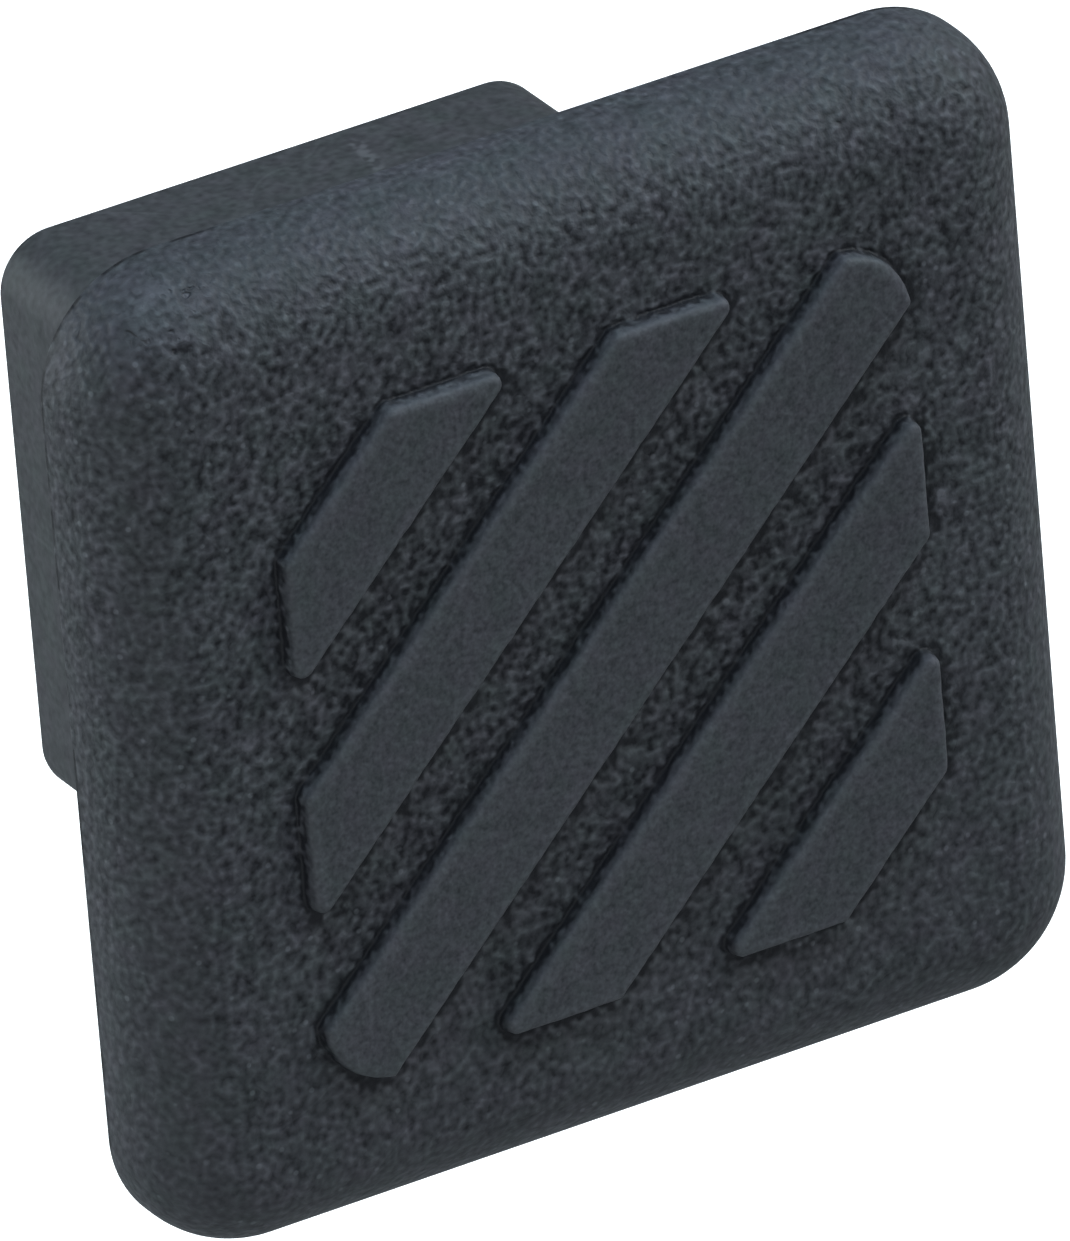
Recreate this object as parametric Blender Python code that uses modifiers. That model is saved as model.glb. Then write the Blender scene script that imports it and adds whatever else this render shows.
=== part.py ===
"""Push-in cover for the open end of a square hitch receiver tube, moulded in rubber as one piece.

A rounded square cap closes the tube's mouth, a hollow square plug behind it holds it there, and
slanted ribs stand on the front of the cap. Written for Blender 4.5, in metres.

X runs across the cap, Z up it and Y along the tube: the cap faces -Y and the plug points to +Y.
The origin is on the plug's axis, in the plane of the cap's back, which meets the end of the tube.
Every shape is modelled face up, as it would lie in the mould, and one empty turns the cover upright.
"""

import math

import bmesh
import bpy

MM = 0.001

# Cap
CAP_WIDTH = 54.0 * MM
CAP_THICKNESS = 6.4 * MM
CAP_CORNER_RADIUS = 6.7 * MM
CAP_EDGE_RADIUS = 5.4 * MM
CAP_SKIN = 4.4 * MM

# Plug, sized for a tube of 1-1/4 inch inside width
PLUG_WIDTH = 31.2 * MM
PLUG_DEPTH = 25.4 * MM
PLUG_CORNER_RADIUS = 3.0 * MM
PLUG_END_RADIUS = 0.4 * MM
PLUG_WALL = 3.5 * MM

# Hollow in the plug, drafted so that the core pulls out of the mould
HOLLOW_CORNER_RADIUS = 1.8 * MM
HOLLOW_FLOOR_RADIUS = 1.5 * MM
HOLLOW_DRAFT = math.radians(1.0)

# Slanted ribs, which fill a rounded square panel in the middle of the cap
PANEL_WIDTH = 36.0 * MM
PANEL_CORNER_RADIUS = 4.0 * MM
RIB_WIDTH = 5.0 * MM
RIB_GAP = 4.2 * MM
RIB_HEIGHT = 1.05 * MM
RIB_EDGE_RADIUS = 0.25 * MM
RIB_SLANT = math.radians(45.0)
RIB_DRAFT = math.radians(8.0)

# Fineness of the rounded shapes
CORNER_STEPS = 14
CAP_EDGE_STEPS = 10
SMALL_EDGE_STEPS = 3
FLOOR_EDGE_STEPS = 5

# How far joined shapes run into each other, and cutters past what they cut
JOIN_OVERLAP = 1.0 * MM

# A rounding takes at most this share of the wall or the corner that it is on
MOST_ROUNDING = 0.9

WELD_DISTANCE = 0.001 * MM
FLAT_ANGLE = math.radians(0.5)
SHARP_ANGLE = math.radians(30.0)

RUBBER_COLOUR = (0.032, 0.039, 0.044, 1.0)
RUBBER_ROUGHNESS = 0.62


def clear_scene():
    for old in list(bpy.data.objects):
        bpy.data.objects.remove(old, do_unlink=True)


def new_collection(name):
    collection = bpy.data.collections.new(name)
    bpy.context.scene.collection.children.link(collection)
    return collection


def evaluated(thing):
    bpy.context.view_layer.update()
    return thing.evaluated_get(bpy.context.evaluated_depsgraph_get())


def rounded_square(width, radius):
    """Points of a square with round corners, centred on the axis, anticlockwise."""
    centre = width / 2 - radius
    points = []
    for quarter in range(4):
        start = quarter * math.pi / 2
        middle = start + math.pi / 4
        x = math.copysign(centre, math.cos(middle))
        y = math.copysign(centre, math.sin(middle))
        for step in range(CORNER_STEPS + 1):
            angle = start + math.pi / 2 * step / CORNER_STEPS
            points.append((x + radius * math.cos(angle), y + radius * math.sin(angle)))
    return points


def outline_curve(name, points, thickness):
    """A filled flat curve, as thick as asked, half of it on each side of its plane."""
    curve = bpy.data.curves.new(name, "CURVE")
    curve.dimensions = "2D"
    curve.fill_mode = "BOTH"
    curve.extrude = thickness / 2
    spline = curve.splines.new("POLY")
    spline.points.add(len(points) - 1)
    for point, (x, y) in zip(spline.points, points):
        point.co = (x, y, 0.0, 1.0)
    spline.use_cyclic_u = True
    return curve


def solid_from_curve(curve_object):
    """The curve's own shape as a closed mesh object in the same place, with one face on each flat end."""
    mesh = bpy.data.meshes.new_from_object(evaluated(curve_object))
    shape = bmesh.new()
    shape.from_mesh(mesh)
    bmesh.ops.remove_doubles(shape, verts=shape.verts, dist=WELD_DISTANCE)
    bmesh.ops.dissolve_limit(shape, angle_limit=FLAT_ANGLE, verts=shape.verts, edges=shape.edges)
    bmesh.ops.recalc_face_normals(shape, faces=shape.faces)
    shape.to_mesh(mesh)
    shape.free()
    name = curve_object.name
    place = curve_object.matrix_world.copy()
    bpy.data.objects.remove(curve_object, do_unlink=True)
    solid = bpy.data.objects.new(name, mesh)
    solid.matrix_world = place
    return solid


def block(name, width, radius, low, high, collection, flare=0.0):
    """A rounded square block from low to high. Its sides lean out by the flare angle on the way down."""
    curve = outline_curve(name, rounded_square(width, radius), high - low)
    upright = bpy.data.objects.new(name, curve)
    collection.objects.link(upright)
    upright.location.z = (low + high) / 2
    solid = solid_from_curve(upright)
    collection.objects.link(solid)
    growth = 1 + 2 * (high - low) * math.tan(flare) / width
    for vertex in solid.data.vertices:
        if vertex.co.z < 0:
            vertex.co.x *= growth
            vertex.co.y *= growth
    return solid


def round_end(solid, side, radius, steps):
    """Rounds the edge round one flat end: side is 1 for the upper end and -1 for the lower."""
    group = solid.vertex_groups.new(name="end")
    group.add([v.index for v in solid.data.vertices if v.co.z * side > 0], 1.0, "REPLACE")
    bevel = solid.modifiers.new("round end", "BEVEL")
    bevel.limit_method = "VGROUP"
    bevel.vertex_group = group.name
    bevel.width = radius
    bevel.segments = steps
    bevel.use_clamp_overlap = False


def combine(solid, operation, other):
    boolean = solid.modifiers.new(f"{operation.lower()} {other.name}", "BOOLEAN")
    boolean.operation = operation
    boolean.object = other


def make_cap(collection):
    cap = block("hitch_cover", CAP_WIDTH, CAP_CORNER_RADIUS, 0.0, CAP_THICKNESS, collection)
    smallest = min(CAP_THICKNESS, CAP_CORNER_RADIUS)
    round_end(cap, 1, min(CAP_EDGE_RADIUS, MOST_ROUNDING * smallest), CAP_EDGE_STEPS)
    return cap


def make_plug(collection):
    plug = block("plug", PLUG_WIDTH, PLUG_CORNER_RADIUS, -PLUG_DEPTH, JOIN_OVERLAP, collection)
    smallest = min(PLUG_WALL, PLUG_CORNER_RADIUS)
    round_end(plug, -1, min(PLUG_END_RADIUS, MOST_ROUNDING * smallest), SMALL_EDGE_STEPS)
    return plug


def make_hollow(collection):
    """The core that leaves the plug hollow. It stops short of the cap's face by the cap's skin."""
    floor = CAP_THICKNESS - CAP_SKIN
    mouth = PLUG_WIDTH - 2 * PLUG_WALL
    depth = PLUG_DEPTH + floor
    floor_width = mouth - 2 * depth * math.tan(HOLLOW_DRAFT)
    radius = min(HOLLOW_CORNER_RADIUS, MOST_ROUNDING * floor_width / 2)
    low = -PLUG_DEPTH - JOIN_OVERLAP
    hollow = block("hollow", floor_width, radius, low, floor, collection, HOLLOW_DRAFT)
    round_end(hollow, 1, min(HOLLOW_FLOOR_RADIUS, MOST_ROUNDING * radius), FLOOR_EDGE_STEPS)
    return hollow


def rib_offsets():
    """How far each rib's middle lies from the panel's own middle, for as many as reach into the panel."""
    straight = PANEL_WIDTH / 2 - PANEL_CORNER_RADIUS
    reach = straight * (math.cos(RIB_SLANT) + math.sin(RIB_SLANT)) + PANEL_CORNER_RADIUS
    pitch = RIB_WIDTH + RIB_GAP
    each_side = int((reach - RIB_WIDTH / 2) / pitch)
    return [pitch * number for number in range(-each_side, each_side + 1)]


def make_bars(collection):
    """Long straight bars at the ribs' slant, one body each, before the panel trims them."""
    low = CAP_THICKNESS - JOIN_OVERLAP
    high = CAP_THICKNESS + RIB_HEIGHT
    lean = (high - low) * math.tan(RIB_DRAFT)
    shape = bmesh.new()
    for offset in rib_offsets():
        corners = bmesh.ops.create_cube(shape, size=1.0)["verts"]
        for corner in corners:
            half_width = RIB_WIDTH / 2 + (lean if corner.co.z < 0 else 0.0)
            along = math.copysign(PANEL_WIDTH, corner.co.x)
            across = offset + math.copysign(half_width, corner.co.y)
            x = along * math.cos(RIB_SLANT) - across * math.sin(RIB_SLANT)
            y = along * math.sin(RIB_SLANT) + across * math.cos(RIB_SLANT)
            corner.co = (x, y, high if corner.co.z > 0 else low)
    mesh = bpy.data.meshes.new("ribs")
    shape.to_mesh(mesh)
    shape.free()
    bars = bpy.data.objects.new("ribs", mesh)
    collection.objects.link(bars)
    return bars


def make_ribs(collection):
    """The bars trimmed to the panel, which has its stated width at the ribs' tops, with their edges eased."""
    low = CAP_THICKNESS - 2 * JOIN_OVERLAP
    high = CAP_THICKNESS + RIB_HEIGHT + JOIN_OVERLAP
    width = PANEL_WIDTH - 2 * JOIN_OVERLAP * math.tan(RIB_DRAFT)
    ribs = make_bars(collection)
    panel = block("panel", width, PANEL_CORNER_RADIUS, low, high, collection, RIB_DRAFT)
    combine(ribs, "INTERSECT", panel)
    ease = ribs.modifiers.new("ease edges", "BEVEL")
    ease.limit_method = "ANGLE"
    ease.angle_limit = SHARP_ANGLE
    ease.width = min(RIB_EDGE_RADIUS, MOST_ROUNDING * RIB_HEIGHT)
    ease.segments = SMALL_EDGE_STEPS
    return ribs


def make_rubber():
    rubber = bpy.data.materials.new("black rubber")
    rubber.use_nodes = True
    shader = rubber.node_tree.nodes["Principled BSDF"]
    shader.inputs["Base Color"].default_value = RUBBER_COLOUR
    shader.inputs["Roughness"].default_value = RUBBER_ROUGHNESS
    shader.inputs["Metallic"].default_value = 0.0
    return rubber


def set_upright(frame, pieces):
    """Turns every piece by a quarter turn about X with the empty, so that the face looks along -Y."""
    frame.rotation_euler.x = math.pi / 2
    for piece in pieces:
        piece.parent = frame


def finish(cover, rubber):
    """Applies the modifiers, so that the shading can follow the finished shape's own edges."""
    mesh = bpy.data.meshes.new_from_object(evaluated(cover))
    cover.modifiers.clear()
    cover.data = mesh
    mesh.materials.clear()
    mesh.materials.append(rubber)
    mesh.shade_smooth()
    mesh.set_sharp_from_angle(angle=SHARP_ANGLE)


def main():
    clear_scene()
    parts = new_collection("hitch receiver cover")
    cutters = new_collection("shapes joined and cut")
    cover = make_cap(parts)
    plug = make_plug(cutters)
    hollow = make_hollow(cutters)
    ribs = make_ribs(cutters)
    combine(cover, "UNION", plug)
    combine(cover, "DIFFERENCE", hollow)
    combine(cover, "UNION", ribs)
    for helper in cutters.objects:
        helper.hide_render = True
        helper.display_type = "WIRE"
    frame = bpy.data.objects.new("cover_frame", None)
    parts.objects.link(frame)
    set_upright(frame, [cover, *cutters.objects])
    finish(cover, make_rubber())


main()
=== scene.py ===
# %% [markdown]
# A hitch receiver cover is a push-in rubber plug for the open end of the square tube under a vehicle.
# This script dresses the imported model: it puts the camera and the light where a studio would have
# them, builds the moulding again with the finer edges of the real one, and gives it a rubber skin.
# The imported model stays the measure of everything. It is loaded first, and its box is kept.

# %% Load the imported model and keep its box
import math
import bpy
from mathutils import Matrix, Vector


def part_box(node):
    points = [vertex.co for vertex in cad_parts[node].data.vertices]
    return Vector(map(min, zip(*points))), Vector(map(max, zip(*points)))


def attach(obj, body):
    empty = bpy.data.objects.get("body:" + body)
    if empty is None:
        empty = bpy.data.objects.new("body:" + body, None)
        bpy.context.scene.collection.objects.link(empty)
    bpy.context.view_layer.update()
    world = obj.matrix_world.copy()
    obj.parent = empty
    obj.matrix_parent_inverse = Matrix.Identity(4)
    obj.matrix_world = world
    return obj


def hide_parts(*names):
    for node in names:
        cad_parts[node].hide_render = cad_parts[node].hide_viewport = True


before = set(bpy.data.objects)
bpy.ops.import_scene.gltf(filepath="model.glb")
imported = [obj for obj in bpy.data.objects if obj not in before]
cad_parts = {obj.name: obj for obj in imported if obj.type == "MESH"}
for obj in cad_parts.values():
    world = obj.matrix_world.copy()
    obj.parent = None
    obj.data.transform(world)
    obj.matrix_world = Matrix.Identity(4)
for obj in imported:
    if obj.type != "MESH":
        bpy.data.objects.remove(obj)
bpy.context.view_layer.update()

from types import SimpleNamespace

import bmesh
import bpy
from mathutils import Matrix, Vector

MM = 0.001

cover_low, cover_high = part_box("hitch_cover")

# %% [markdown]
# The camera stands to the left of the cover and above it, far away, with a very long lens. That is how
# a small product is shot for a catalogue: the far edges come out almost as long as the near ones. The
# camera could be placed by hand until it looks right. Here its direction, distance, roll and lens come
# from matching the outline of the cap and the plug, so the frame holds the cover to a pixel or two.

# %% Camera
CAMERA_AZIMUTH = math.radians(-28.2223)
CAMERA_ELEVATION = math.radians(27.2718)
CAMERA_ROLL = math.radians(-4.8612)
CAMERA_DISTANCE = 1.708084
CAMERA_TARGET = Vector((-0.516, 0.157, -0.206)) * MM
CAMERA_LENS = 1002.2272
CAMERA_SENSOR = 36.0
FARTHEST_SEEN = 20.0


def direction_to(azimuth, elevation):
    """Unit vector towards a place round the cover. Azimuth 0 is in front of the face, at -Y."""
    flat = math.cos(elevation)
    return Vector((math.sin(azimuth) * flat, -math.cos(azimuth) * flat, math.sin(elevation)))


def turned_back(towards):
    """The turn of a camera or a lamp that looks back along a direction, with its top upward."""
    return towards.to_track_quat("Z", "Y").to_matrix().to_4x4()


def make_camera():
    camera = bpy.data.objects.new("camera", bpy.data.cameras.new("camera"))
    bpy.context.scene.collection.objects.link(camera)
    towards = direction_to(CAMERA_AZIMUTH, CAMERA_ELEVATION)
    turn = turned_back(towards) @ Matrix.Rotation(CAMERA_ROLL, 4, "Z")
    camera.matrix_world = Matrix.Translation(CAMERA_TARGET + towards * CAMERA_DISTANCE) @ turn
    camera.data.lens = CAMERA_LENS
    camera.data.sensor_width = CAMERA_SENSOR
    camera.data.clip_end = FARTHEST_SEEN
    bpy.context.scene.camera = camera
    return camera


camera = make_camera()
print("camera at", [round(value, 3) for value in camera.matrix_world.translation])

# %% [markdown]
# Node trees do most of the work below, in the materials and in the geometry. A tree takes many calls
# that all look alike: add a node, set its options, then give each input a value or a link. One helper
# does all three and hands back the node's output, so that a tree reads as a list of steps.

# %% Helpers for node trees
# A Mix node has sockets of the same name for each kind of value. These are the numbers of its
# sockets for colours.
MIX_FACTOR = 0
MIX_FIRST_COLOUR = 6
MIX_SECOND_COLOUR = 7
MIX_COLOUR_RESULT = 2


def add(tree, kind, inputs=None, output=0, **options):
    """Adds a node. An input is a plain value, a socket to link from, or a list of such sockets."""
    node = tree.nodes.new(kind)
    for name, value in options.items():
        setattr(node, name, value)
    for key, value in (inputs or {}).items():
        for source in value if isinstance(value, list) else [value]:
            if isinstance(source, bpy.types.NodeSocket):
                tree.links.new(source, node.inputs[key])
            else:
                node.inputs[key].default_value = source
    return node.outputs[output] if node.outputs else node


def maths(tree, operation, *values):
    """A Math node on one, two or three numbers or sockets."""
    return add(tree, "ShaderNodeMath", dict(enumerate(values)), operation=operation)


def vectors(tree, operation, *values, output="Vector"):
    """A Vector Math node on one or two vectors or sockets."""
    return add(tree, "ShaderNodeVectorMath", dict(enumerate(values)), output, operation=operation)


def scaled(tree, vector, factor):
    """A vector times a number."""
    return add(tree, "ShaderNodeVectorMath", {0: vector, "Scale": factor}, operation="SCALE")


def mixed(tree, factor, first, second):
    """Two numbers mixed by a factor."""
    return add(tree, "ShaderNodeMix", {"Factor": factor, "A": first, "B": second}, data_type="FLOAT")


def mixed_colour(tree, factor, first, second):
    """Two colours mixed by a factor."""
    colours = {MIX_FACTOR: factor, MIX_FIRST_COLOUR: first, MIX_SECOND_COLOUR: second}
    return add(tree, "ShaderNodeMix", colours, MIX_COLOUR_RESULT, data_type="RGBA")


print("helpers for node trees are ready")

# %% [markdown]
# The stage is a pale floor well below the cover, because a cover like this hangs in the mouth of its
# tube and rests on nothing. A floor right under it would put a shadow into the picture. The floor
# could be lit until it is white, but then the rubber would be lit as hard. So the floor and the world
# are white for the camera only. The light that bounces off the floor meets a darker grey, and the
# floor still darkens where the cover's shadow falls. Seen from below, the floor is clear, so that the
# underside of the cover can be looked at too.

# %% Floor
FLOOR_DROP = 120 * MM
FLOOR_SIZE = 12.0
FLOOR_COLOUR = (0.82, 0.82, 0.82, 1.0)
FLOOR_BOUNCE = (0.36, 0.36, 0.36, 1.0)
FLOOR_GLOW = 0.6


def floor_material():
    material = bpy.data.materials.new("pale floor")
    material.use_nodes = True
    tree = material.node_tree
    tree.nodes.clear()
    camera_ray = add(tree, "ShaderNodeLightPath", output="Is Camera Ray")
    from_below = add(tree, "ShaderNodeNewGeometry", output="Backfacing")
    colour = mixed_colour(tree, camera_ray, FLOOR_BOUNCE, FLOOR_COLOUR)
    matt = add(tree, "ShaderNodeBsdfDiffuse", {"Color": colour})
    glow = add(tree, "ShaderNodeEmission", {"Strength": maths(tree, "MULTIPLY", camera_ray, FLOOR_GLOW)})
    lit = add(tree, "ShaderNodeAddShader", {0: matt, 1: glow})
    clear = add(tree, "ShaderNodeBsdfTransparent")
    unseen = maths(tree, "MULTIPLY", camera_ray, from_below)
    surface = add(tree, "ShaderNodeMixShader", {0: unseen, 1: lit, 2: clear})
    add(tree, "ShaderNodeOutputMaterial", {"Surface": surface})
    return material


def make_floor():
    shape = bmesh.new()
    bmesh.ops.create_grid(shape, x_segments=1, y_segments=1, size=FLOOR_SIZE / 2)
    mesh = bpy.data.meshes.new("floor")
    shape.to_mesh(mesh)
    shape.free()
    mesh.materials.append(floor_material())
    floor = bpy.data.objects.new("floor", mesh)
    floor.location.z = cover_low.z - FLOOR_DROP
    bpy.context.scene.collection.objects.link(floor)
    return floor


floor = make_floor()
print("floor at", round(floor.location.z / MM, 1), "mm")

# %% [markdown]
# The light is soft and comes from large boxes. The rubber is so dark that most of what the camera sees
# on it is a faint sheen, so the boxes are placed for their reflections as much as for their light. The
# box overhead gives the pale band on the cap's upper rounding, and the sides give the paler edges.
# A small box stands close in front, at the left, so that the face gets darker toward the right. Each
# box is a square area lamp that looks at the cover and that the camera doesn't see. The world adds
# an even, slightly cool fill, and is white where the camera looks straight at it.

# %% World and softboxes
BACKGROUND_WHITE = 1.0
AMBIENT_COLOUR = (0.96, 0.98, 1.0, 1.0)
AMBIENT_STRENGTH = 0.2

# Tints of the boxes
COOL = (0.67, 0.85, 1.0)
NEUTRAL = (0.92, 0.98, 1.0)
GREENISH = (0.88, 0.97, 1.0)

# Each softbox: azimuth and elevation in degrees, distance and width in metres, power in watts, tint
SOFTBOXES = {
    "overhead softbox": (0, 80, 1.0, 0.7, 8.5, COOL),
    "upper right softbox": (70, 38, 1.0, 0.7, 11.7, NEUTRAL),
    "left rear softbox": (-130, 12, 1.0, 0.7, 10.5, GREENISH),
    "right rear softbox": (105, 30, 1.0, 0.7, 1.4, NEUTRAL),
    "front left softbox": (-48, -2, 0.35, 0.25, 0.55, NEUTRAL),
}


def make_world():
    world = bpy.data.worlds.new("studio")
    world.use_nodes = True
    tree = world.node_tree
    tree.nodes.clear()
    camera_ray = add(tree, "ShaderNodeLightPath", output="Is Camera Ray")
    fill = add(tree, "ShaderNodeBackground", {"Color": AMBIENT_COLOUR, "Strength": AMBIENT_STRENGTH})
    white = add(tree, "ShaderNodeBackground", {"Color": (1.0, 1.0, 1.0, 1.0), "Strength": BACKGROUND_WHITE})
    surface = add(tree, "ShaderNodeMixShader", {0: camera_ray, 1: fill, 2: white})
    add(tree, "ShaderNodeOutputWorld", {"Surface": surface})
    bpy.context.scene.world = world


def make_softbox(name, azimuth, elevation, distance, width, power, tint):
    lamp = bpy.data.lights.new(name, "AREA")
    lamp.shape = "SQUARE"
    lamp.size = width
    lamp.energy = power
    lamp.color = tint
    box = bpy.data.objects.new(name, lamp)
    towards = direction_to(math.radians(azimuth), math.radians(elevation))
    box.matrix_world = Matrix.Translation(towards * distance) @ turned_back(towards)
    box.visible_camera = False
    bpy.context.scene.collection.objects.link(box)


make_world()
for name, settings in SOFTBOXES.items():
    make_softbox(name, *settings)
bpy.context.scene.view_settings.view_transform = "Standard"
print("softboxes:", ", ".join(SOFTBOXES))

# %% [markdown]
# The cap, the plug and the hollow behind them share one rule. Cut the cover square to the tube
# anywhere, and the cut is a rounded square. So the whole body is a stack of rounded squares, and each
# is told by three numbers: half its width, its corner radius, and its height above the cap's back.
# Booleans could join a cap and a plug too, but the small roundings between them would then be bevels
# on rough seams. A stack of rings gives every rounding its own rings, and only four-sided faces.

# %% Sizes of the body
CAP_WIDTH = cover_high.x - cover_low.x
PLUG_DEPTH = cover_high.y
CAP_THICKNESS = 6.4 * MM
CAP_CORNER_RADIUS = 6.7 * MM
CAP_EDGE_RADIUS = 5.4 * MM
CAP_SKIN = 4.4 * MM
PLUG_WIDTH = 31.2 * MM
PLUG_CORNER_RADIUS = 3.0 * MM
PLUG_END_RADIUS = 0.4 * MM
PLUG_WALL = 3.5 * MM
HOLLOW_CORNER_RADIUS = 1.8 * MM
HOLLOW_FLOOR_RADIUS = 1.5 * MM
HOLLOW_DRAFT = math.radians(1.0)

# Small roundings that every moulded rubber edge has
CAP_BACK_RADIUS = 0.3 * MM
PLUG_ROOT_RADIUS = 0.5 * MM
MOUTH_RADIUS = 0.3 * MM

CAP_EDGE_STEPS = 18
SMALL_EDGE_STEPS = 4
FLOOR_EDGE_STEPS = 8
CORNER_STEPS = 24


def ring(half_width, corner_radius, height):
    """One rounded square of the stack."""
    return Vector((half_width, corner_radius, height))


def quarter_round(start, end, steps, leaves_along):
    """Rings after start, up to end, along a quarter round that leaves start along its width or its depth."""
    rings = []
    for step in range(1, steps + 1):
        angle = math.pi / 2 * step / steps
        early, late = math.sin(angle), 1 - math.cos(angle)
        across, along = (early, late) if leaves_along == "width" else (late, early)
        share = Vector((across, across, along))
        rings.append(start + share * (end - start))
    return rings


def cap_rings():
    """From the edge of the flat face, over the wide rounding and the narrow side, to the cap's back."""
    half = CAP_WIDTH / 2
    face = ring(half - CAP_EDGE_RADIUS, CAP_CORNER_RADIUS - CAP_EDGE_RADIUS, CAP_THICKNESS)
    side_front = ring(half, CAP_CORNER_RADIUS, CAP_THICKNESS - CAP_EDGE_RADIUS)
    side_back = ring(half, CAP_CORNER_RADIUS, CAP_BACK_RADIUS)
    back = ring(half - CAP_BACK_RADIUS, CAP_CORNER_RADIUS - CAP_BACK_RADIUS, 0.0)
    rings = [face, *quarter_round(face, side_front, CAP_EDGE_STEPS, "width"), side_back]
    return rings + quarter_round(side_back, back, SMALL_EDGE_STEPS, "depth")


def plug_rings():
    """From the foot of the plug on the cap's back to the flat of its open end."""
    half = PLUG_WIDTH / 2
    foot = ring(half + PLUG_ROOT_RADIUS, PLUG_CORNER_RADIUS + PLUG_ROOT_RADIUS, 0.0)
    wall = ring(half, PLUG_CORNER_RADIUS, -PLUG_ROOT_RADIUS)
    tip = ring(half, PLUG_CORNER_RADIUS, PLUG_END_RADIUS - PLUG_DEPTH)
    end = ring(half - PLUG_END_RADIUS, PLUG_CORNER_RADIUS - PLUG_END_RADIUS, -PLUG_DEPTH)
    rings = [foot, *quarter_round(foot, wall, SMALL_EDGE_STEPS, "width"), tip]
    return rings + quarter_round(tip, end, SMALL_EDGE_STEPS, "depth")


def hollow_rings():
    """From the mouth of the hollow, down its drafted wall, to the edge of its flat floor."""
    floor_height = CAP_THICKNESS - CAP_SKIN
    mouth_half = PLUG_WIDTH / 2 - PLUG_WALL
    floor_half = mouth_half - (PLUG_DEPTH + floor_height) * math.tan(HOLLOW_DRAFT)
    mouth_radius = HOLLOW_CORNER_RADIUS * mouth_half / floor_half
    lip = ring(mouth_half + MOUTH_RADIUS, mouth_radius + MOUTH_RADIUS, -PLUG_DEPTH)
    mouth = ring(mouth_half, mouth_radius, MOUTH_RADIUS - PLUG_DEPTH)
    wall = ring(floor_half, HOLLOW_CORNER_RADIUS, floor_height - HOLLOW_FLOOR_RADIUS)
    bottom = ring(floor_half - HOLLOW_FLOOR_RADIUS, HOLLOW_CORNER_RADIUS - HOLLOW_FLOOR_RADIUS, floor_height)
    rings = [lip, *quarter_round(lip, mouth, SMALL_EDGE_STEPS, "width"), wall]
    return rings + quarter_round(wall, bottom, FLOOR_EDGE_STEPS, "depth")


def poly_curve(name, points):
    """An open curve through the points, as an object for a node tree to read."""
    curve = bpy.data.curves.new(name, "CURVE")
    curve.dimensions = "3D"
    spline = curve.splines.new("POLY")
    spline.points.add(len(points) - 1)
    for point, place in zip(spline.points, points):
        point.co = (*place, 1.0)
    return bpy.data.objects.new(name, curve)


body_rings = cap_rings() + plug_rings() + hollow_rings()
body_section = poly_curve("body section", body_rings)
print("the body is a stack of", len(body_rings), "rounded squares")

# %% [markdown]
# The rule itself goes into a Geometry Nodes tree. Curve to Mesh joins a closed circle of points with
# the list of rings and so makes the net of faces. Where the points lie at that stage doesn't matter,
# because Set Position then puts each one in its place: out to the corner's centre, which lies half
# the width less the radius from the axis, and on by the radius in the direction of its own turn. Both
# parts are captured before the sweep, so every point of the net still carries them.

# %% Tree for the body
def new_tree(name, inputs):
    """An empty geometry tree with these named inputs. Returns it with the sockets that bring them in."""
    tree = bpy.data.node_groups.new(name, "GeometryNodeTree")
    for label, kind in inputs.items():
        tree.interface.new_socket(label, in_out="INPUT", socket_type="NodeSocket" + kind)
    tree.interface.new_socket("Geometry", in_out="OUTPUT", socket_type="NodeSocketGeometry")
    return tree, tree.nodes.new("NodeGroupInput").outputs


def capture(tree, geometry, **fields):
    """Stores vector fields on a geometry's points. Returns the geometry, then each stored field."""
    node = tree.nodes.new("GeometryNodeCaptureAttribute")
    for label in fields:
        node.capture_items.new("VECTOR", label)
    tree.links.new(geometry, node.inputs["Geometry"])
    for label, field in fields.items():
        tree.links.new(field, node.inputs[label])
    return [node.outputs["Geometry"], *[node.outputs[label] for label in fields]]


def vector_of(tree, x=0.0, y=0.0, z=0.0):
    return add(tree, "ShaderNodeCombineXYZ", {"X": x, "Y": y, "Z": z})


def parts_of(tree, vector):
    """The three numbers of a vector."""
    x = add(tree, "ShaderNodeSeparateXYZ", {0: vector})
    return x, x.node.outputs[1], x.node.outputs[2]


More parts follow.
